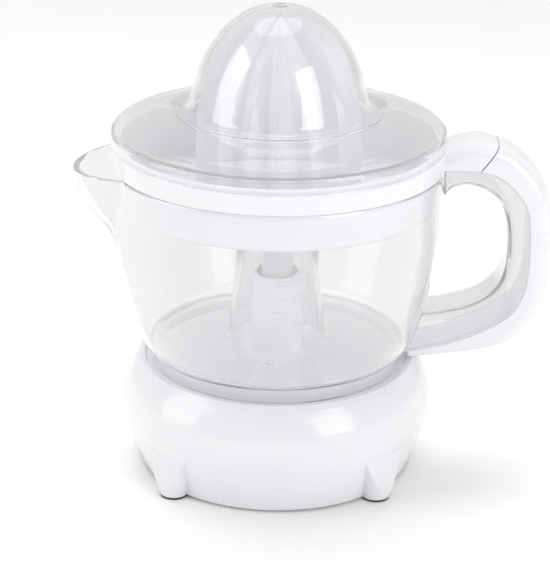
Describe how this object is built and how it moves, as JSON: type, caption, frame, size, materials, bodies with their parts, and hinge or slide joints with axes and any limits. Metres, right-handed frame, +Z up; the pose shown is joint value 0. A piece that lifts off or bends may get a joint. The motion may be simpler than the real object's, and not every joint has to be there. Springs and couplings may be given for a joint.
{
  "type": "citrus press juicer",
  "caption": "Electric citrus press: clear jug with spout and handle, strainer, ribbed reamer and clear dust cover on a round white motor base with four feet.",
  "frame": {"origin": "on the drive's vertical axis, level with the surface that the feet stand on", "axes": "+Z up along the drive's axis, +X towards the handle, -X towards the spout, +Y towards the back, where the cord leaves"},
  "size_m": [0.2, 0.1388, 0.2],
  "materials": {
    "clear_plastic": "clear, gloss, moulded styrene",
    "white_gloss": "white, gloss",
    "white_satin": "white, satin, inside parts",
    "grey_plastic": "light grey, satin",
    "acetal": "natural acetal",
    "black_plastic": "black, satin",
    "red_plastic": "red",
    "grey_rubber": "dark grey, matt",
    "steel": "zinc plated",
    "core_steel": "varnished laminations",
    "brass": "plain",
    "bronze": "sintered bronze",
    "copper": "enamelled copper wire",
    "ferrite": "sintered magnet",
    "wire_blue": "insulated wire"
  },
  "bodies": {
    "base": {"base_housing": "white_gloss", "base_cover": "white_satin", "foot_pads": "grey_rubber", "cover_screws": "steel", "cord_gland": "grey_rubber", "tower_bush": "bronze", "spindle_bush": "acetal", "spindle_seal": "grey_rubber", "gear_axles": "steel", "gearbox_plate": "grey_plastic", "gearbox_cover": "grey_plastic", "gearbox_screws": "steel", "mounting_grommets": "grey_rubber", "mounting_screws": "steel", "stator_core": "core_steel", "coil_bobbins": "white_satin", "coil_windings": "copper", "coil_terminals": "brass", "rotor_bearings": "bronze", "motor_bracket": "steel", "core_screws": "steel", "microswitch_body": "black_plastic", "switch_terminals": "brass", "switch_screws": "steel", "terminal_block": "white_satin", "terminal_screws": "brass", "terminal_block_screw": "steel", "lead_wires": "wire_blue"},
    "output_drive": {"output_gear": "acetal", "thrust_washer": "steel", "return_spring": "steel"},
    "spindle": {"drive_spindle": "grey_plastic", "spindle_clip": "steel"},
    "second_gear": {"second_gear": "acetal"},
    "first_gear": {"first_gear": "acetal"},
    "rotor": {"rotor_magnet": "ferrite", "rotor_shaft": "steel", "motor_pinion": "brass"},
    "switch_plunger": {"switch_plunger": "red_plastic"},
    "jug": {"jug": "clear_plastic", "handle_cover": "white_gloss"},
    "strainer": {"strainer_bowl": "white_gloss"},
    "reamer": {"reamer_cone": "white_gloss"},
    "cover": {"dust_cover": "clear_plastic"}
  },
  "joints": [
    {"name": "drive_spin", "type": "hinge", "parent": "base", "child": "output_drive", "pos_m": [0, 0, 0.04], "axis": [0, 0, 1], "continuous": true},
    {"name": "spindle_press", "type": "slide", "parent": "output_drive", "child": "spindle", "axis": [0, 0, -1], "range_m": [0, 0.0025], "stiffness_N_per_m": 900, "springref_m": -0.008, "deforming": ["return_spring"]},
    {"name": "second_gear_spin", "type": "hinge", "parent": "base", "child": "second_gear", "pos_m": [0.0225, 0, 0.035], "axis": [0, 0, 1], "continuous": true},
    {"name": "first_gear_spin", "type": "hinge", "parent": "base", "child": "first_gear", "pos_m": [0.03174, -0.01683, 0.032], "axis": [0, 0, 1], "continuous": true},
    {"name": "rotor_spin", "type": "hinge", "parent": "base", "child": "rotor", "pos_m": [0.02, -0.028, 0.016], "axis": [0, 0, 1], "continuous": true},
    {"name": "switch_press", "type": "slide", "parent": "base", "child": "switch_plunger", "axis": [0, 0, -1], "range_m": [0, 0.0025]},
    {"name": "jug_lift", "type": "slide", "parent": "base", "child": "jug", "axis": [0, 0, 1], "range_m": [0, 0.1]},
    {"name": "strainer_lift", "type": "slide", "parent": "jug", "child": "strainer", "axis": [0, 0, 1], "range_m": [0, 0.04]},
    {"name": "reamer_spin", "type": "hinge", "parent": "strainer", "child": "reamer", "pos_m": [0, 0, 0.13], "axis": [0, 0, 1], "continuous": true},
    {"name": "cover_lift", "type": "slide", "parent": "strainer", "child": "cover", "axis": [0, 0, 1], "range_m": [0, 0.08]}
  ],
  "couplings": [
    {"joint": "second_gear_spin", "follows": "reamer_spin", "ratio": -2.75},
    {"joint": "first_gear_spin", "follows": "reamer_spin", "ratio": 8.25},
    {"joint": "rotor_spin", "follows": "reamer_spin", "ratio": -41.25},
    {"joint": "drive_spin", "follows": "reamer_spin", "ratio": 1},
    {"joint": "switch_press", "follows": "spindle_press", "ratio": 1}
  ]
}
